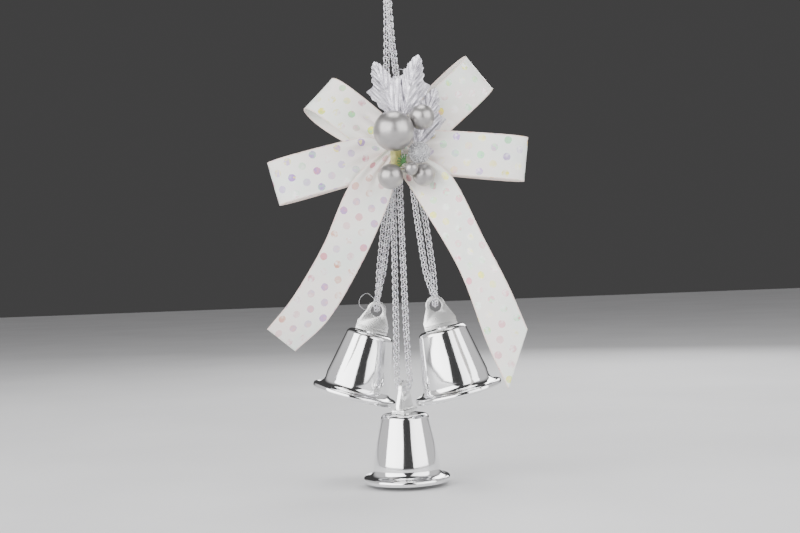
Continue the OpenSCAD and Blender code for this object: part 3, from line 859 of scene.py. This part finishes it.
def beaded_ball(centre, radius, seed):
    """A grey core crowded with clear grains of mixed size, spread by the golden angle."""
    rng = random.Random(seed)
    core, faces = ball_mesh(radius - 0.75, centre, 24)
    piece("beaded_core", core, faces, [CORE], "root", ("ball_beaded",))
    parts = []
    for i in range(GRAINS):
        z = 1 - 2 * (i + 0.5) / GRAINS
        a = i * GRAIN_TURN + rng.uniform(-0.12, 0.12)
        r = math.sqrt(1 - z * z)
        size = rng.uniform(0.38, 0.6)
        at = np.asarray(centre) + (radius - size) * np.array([r * math.cos(a), r * math.sin(a), z])
        parts.append(ball_mesh(size, at, 5))
    verts, faces = joined(parts)
    piece("beaded_grains", verts, faces, [BEADS])


beaded_ball((11.7, -17.6, -78.6), 5.1, 4)


# ---- bells: the same section as the solid, turned finely so that the chrome reflects cleanly ----
BELL_H = 31.0
CROWN_Z = -11.27
RIM_Z = CROWN_Z - BELL_H
CROWN_FLAT_R = 8.8
SHOULDER_R = 2.4
FLARE_OUT = 3.85
FLARE_UP = 3.8
BELL_STEPS = 192
BELL_EDGE = 60
CLAPPER_R = 3.1
CLAPPER_LEN = 24.0
# side, the cord's bend in the lug's hole, turn about an axis in degrees, and the clapper's eye
BELLS = (
    ("left", (-10.4, 14, -149), "Y", 17, (-15.245, 14, -164.846)),
    ("right", (16.5, -6, -147), "Y", -13, (20.227, -6, -163.145)),
    ("lower", (0.9, 0, -185.5), "Z", LOWER_LUG_TURN, (0.9, 0, -202.07)),
)


def shoulder(degrees):
    """A point of the rounded edge of the crown, from its flat top round to the wall."""
    a = math.radians(degrees)
    return CROWN_FLAT_R + SHOULDER_R * math.sin(a), BELL_H - SHOULDER_R + SHOULDER_R * math.cos(a)


def flare(r, z, degrees):
    """A point of the quarter curve that flares out: the wall's end at 90 degrees, the rim's at 0."""
    a = math.radians(degrees)
    return r + FLARE_OUT * (1 - math.sin(a)), z + FLARE_UP * (1 - math.cos(a))


def shell_section():
    """Outer face from the stem's hole to the rim, the rim bead, and the inner face back."""
    outer = [(1.6, BELL_H), (4, BELL_H)] + [shoulder(a) for a in range(0, 91, 6)]
    outer += [(13.25, 18.5), (15.25, 8.8)] + [flare(15.35, 2.5, a) for a in range(90, -1, -5)]
    rim = [(19.3, 2.6), (19.75, 2.35), (20.0, 1.9), (20.05, 1.2), (20.0, 0.5), (19.7, 0.1)]
    rim += [(19.2, 0.0), (18.5, 0.0)]
    inner = [flare(14.15, 1.3, a) for a in range(0, 91, 6)]
    inner += [(14.05, 8.8), (10.1, 28.4), (9.5, 29.3), (8.4, 29.75), (4, 29.8), (1.6, 29.8)]
    return outer + rim + inner


def lathe(section, n):
    """The section, a closed loop of radius and height, turned about the upright axis in n steps."""
    verts, faces, m = [], [], len(section)
    for k in range(n):
        a = 2 * math.pi * k / n
        verts += [(r * math.cos(a), r * math.sin(a), z) for r, z in section]
    for k in range(n):
        base, following = k * m, ((k + 1) % n) * m
        for i in range(m):
            j = (i + 1) % m
            faces.append((base + i, base + j, following + j, following + i))
    return np.array(verts), faces


def turned(points, axis, degrees, place):
    """Points turned about an axis through the origin, then moved to a place."""
    return points @ np.array(Matrix.Rotation(math.radians(degrees), 3, axis)).T + np.asarray(place, float)


def sharpen(obj, angle):
    """Smooth faces that stay crisp across edges sharper than the angle, in degrees."""
    mesh = obj.data
    edges = {}
    for polygon in mesh.polygons:
        for key in polygon.edge_keys:
            edges.setdefault(key, []).append(polygon.normal)
    limit = math.cos(math.radians(angle))
    for edge in mesh.edges:
        met = edges.get(edge.key, [])
        edge.use_edge_sharp = len(met) == 2 and met[0].dot(met[1]) < limit


WELD_M = 0.00001
FLAT_WITHIN = 3
WORN_ABOVE = 40
WORN_EDGE = 50
LUG_WEAR = 0.28


def softened(node, body, material, width):
    """A copy of a node with its corners worn round, which stands for the node."""
    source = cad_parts[node]
    obj = bpy.data.objects.new(node + "_plate", source.data.copy())
    bpy.context.collection.objects.link(obj)
    weld = obj.modifiers.new("weld", "WELD")
    weld.merge_threshold = WELD_M
    flat = obj.modifiers.new("flat", "DECIMATE")
    flat.decimate_type = "DISSOLVE"
    flat.angle_limit = math.radians(FLAT_WITHIN)
    bevel = obj.modifiers.new("bevel", "BEVEL")
    bevel.width = width * MM
    bevel.segments = 3
    bevel.limit_method = "ANGLE"
    bevel.angle_limit = math.radians(WORN_ABOVE)
    bevel.use_clamp_overlap = True
    apply_modifiers(obj)
    obj.data.materials.clear()
    obj.data.materials.append(material)
    obj.data.polygons.foreach_set("use_smooth", [True] * len(obj.data.polygons))
    sharpen(obj, WORN_EDGE)
    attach(obj, body)
    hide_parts(node)


for side, pivot, axis, turn, eye in BELLS:
    verts, faces = lathe(shell_section(), BELL_STEPS)
    verts = turned(verts + np.array([0, 0, RIM_Z]), axis, turn, pivot)
    shell = piece(f"{side}_bell", verts, faces, [CHROME], f"bell_{side}", (f"shell_{side}",))
    sharpen(shell, BELL_EDGE)
    softened(f"lug_{side}", f"bell_{side}", LUG_CHROME, LUG_WEAR)
    verts, faces = ball_mesh(CLAPPER_R, np.asarray(eye) - np.array([0, 0, CLAPPER_LEN]), 32)
    piece(f"{side}_clapper", verts, faces, [CHROME], f"clapper_{side}", (f"clapper_ball_{side}",))


# ---- materials of the solids that stay as they are ----
def paint(node, material):
    """Give a solid of the frame its one material."""
    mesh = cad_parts[node].data
    mesh.materials.clear()
    mesh.materials.append(material)


for node in ("tie_wire", "ball_wires"):
    paint(node, WIRE)
paint("taped_stem", TAPE)
paint("needle_sprig", NEEDLE)
for side in ("left", "right", "lower"):
    paint(f"washer_{side}", CHROME)
    paint(f"clapper_link_{side}", WIRE)


# ---- floor and light: a pale floor, two softboxes, a top and a rim light, in metres and watts ----
FLOOR_Z = -0.2296
FLOOR_R = 3.0
MIDDLE = (0, 0, -0.12)


def floor():
    """A wide pale paper floor just under the lowest clapper."""
    r, z = FLOOR_R, FLOOR_Z
    mesh = bpy.data.meshes.new("floor")
    mesh.from_pydata([(-r, -r, z), (r, -r, z), (r, r, z), (-r, r, z)], [], [(0, 1, 2, 3)])
    look = Look("floor_paper", rough=0.7)
    tone = look.noise(look.place(), 8.0, 4.0)
    look.set("Base Color", look.ramp(tone, (0.3, (0.7, 0.7, 0.71)), (0.7, (0.76, 0.76, 0.77))))
    mesh.materials.append(look.material)
    obj = bpy.data.objects.new("floor", mesh)
    bpy.context.collection.objects.link(obj)


def area_light(name, place, size, power):
    """A rectangular light that faces the ornament's middle."""
    data = bpy.data.lights.new(name, "AREA")
    data.shape = "RECTANGLE"
    data.size, data.size_y = size
    data.energy = power
    back = -unit(np.asarray(MIDDLE, float) - np.asarray(place, float))
    # a light nearly overhead takes +X as its right
    right = unit(np.cross((0, 0, 1.0), back)) if abs(back[2]) < 0.99 else np.array([1.0, 0, 0])
    obj = bpy.data.objects.new(name, data)
    obj.matrix_world = Matrix((right, np.cross(back, right), back)).transposed().to_4x4()
    obj.location = place
    bpy.context.collection.objects.link(obj)


def softbox(name, azimuth, away, height, size, power):
    """A large panel; azimuth is measured in degrees from the camera's side, to the right."""
    a = math.radians(azimuth)
    area_light(name, (away * math.sin(a), -away * math.cos(a), height), size, power)


floor()
softbox("softbox_left", -45, 0.9, 0.22, (1.3, 0.86), 18.0)
softbox("softbox_right", 52, 0.9, 0.22, (1.1, 0.86), 10.0)
area_light("top", (0.0, 0.1, 0.75), (0.5, 0.5), 4.0)
area_light("rim", (0.25, 0.7, 0.2), (0.4, 0.4), 3.0)


def side_lit_world():
    """Dark ahead and behind, and softly bright to the left and right, like white walls."""
    world = bpy.data.worlds.new("world")
    bpy.context.scene.world = world
    world.use_nodes = True
    tree = world.node_tree
    where = tree.nodes.new("ShaderNodeTexCoord")
    split = tree.nodes.new("ShaderNodeSeparateXYZ")
    sideways = tree.nodes.new("ShaderNodeMath")
    sideways.operation = "ABSOLUTE"
    walls = tree.nodes.new("ShaderNodeMapRange")
    walls.interpolation_type = "SMOOTHSTEP"
    walls.inputs["From Min"].default_value = 0.4
    walls.inputs["From Max"].default_value = 0.8
    walls.inputs["To Min"].default_value = 0.06
    walls.inputs["To Max"].default_value = 0.75
    tree.links.new(where.outputs["Generated"], split.inputs[0])
    tree.links.new(split.outputs[0], sideways.inputs[0])
    tree.links.new(sideways.outputs[0], walls.inputs["Value"])
    tree.links.new(walls.outputs[0], tree.nodes["Background"].inputs["Strength"])
    tree.nodes["Background"].inputs["Color"].default_value = (1.0, 0.99, 1.0, 1)


side_lit_world()
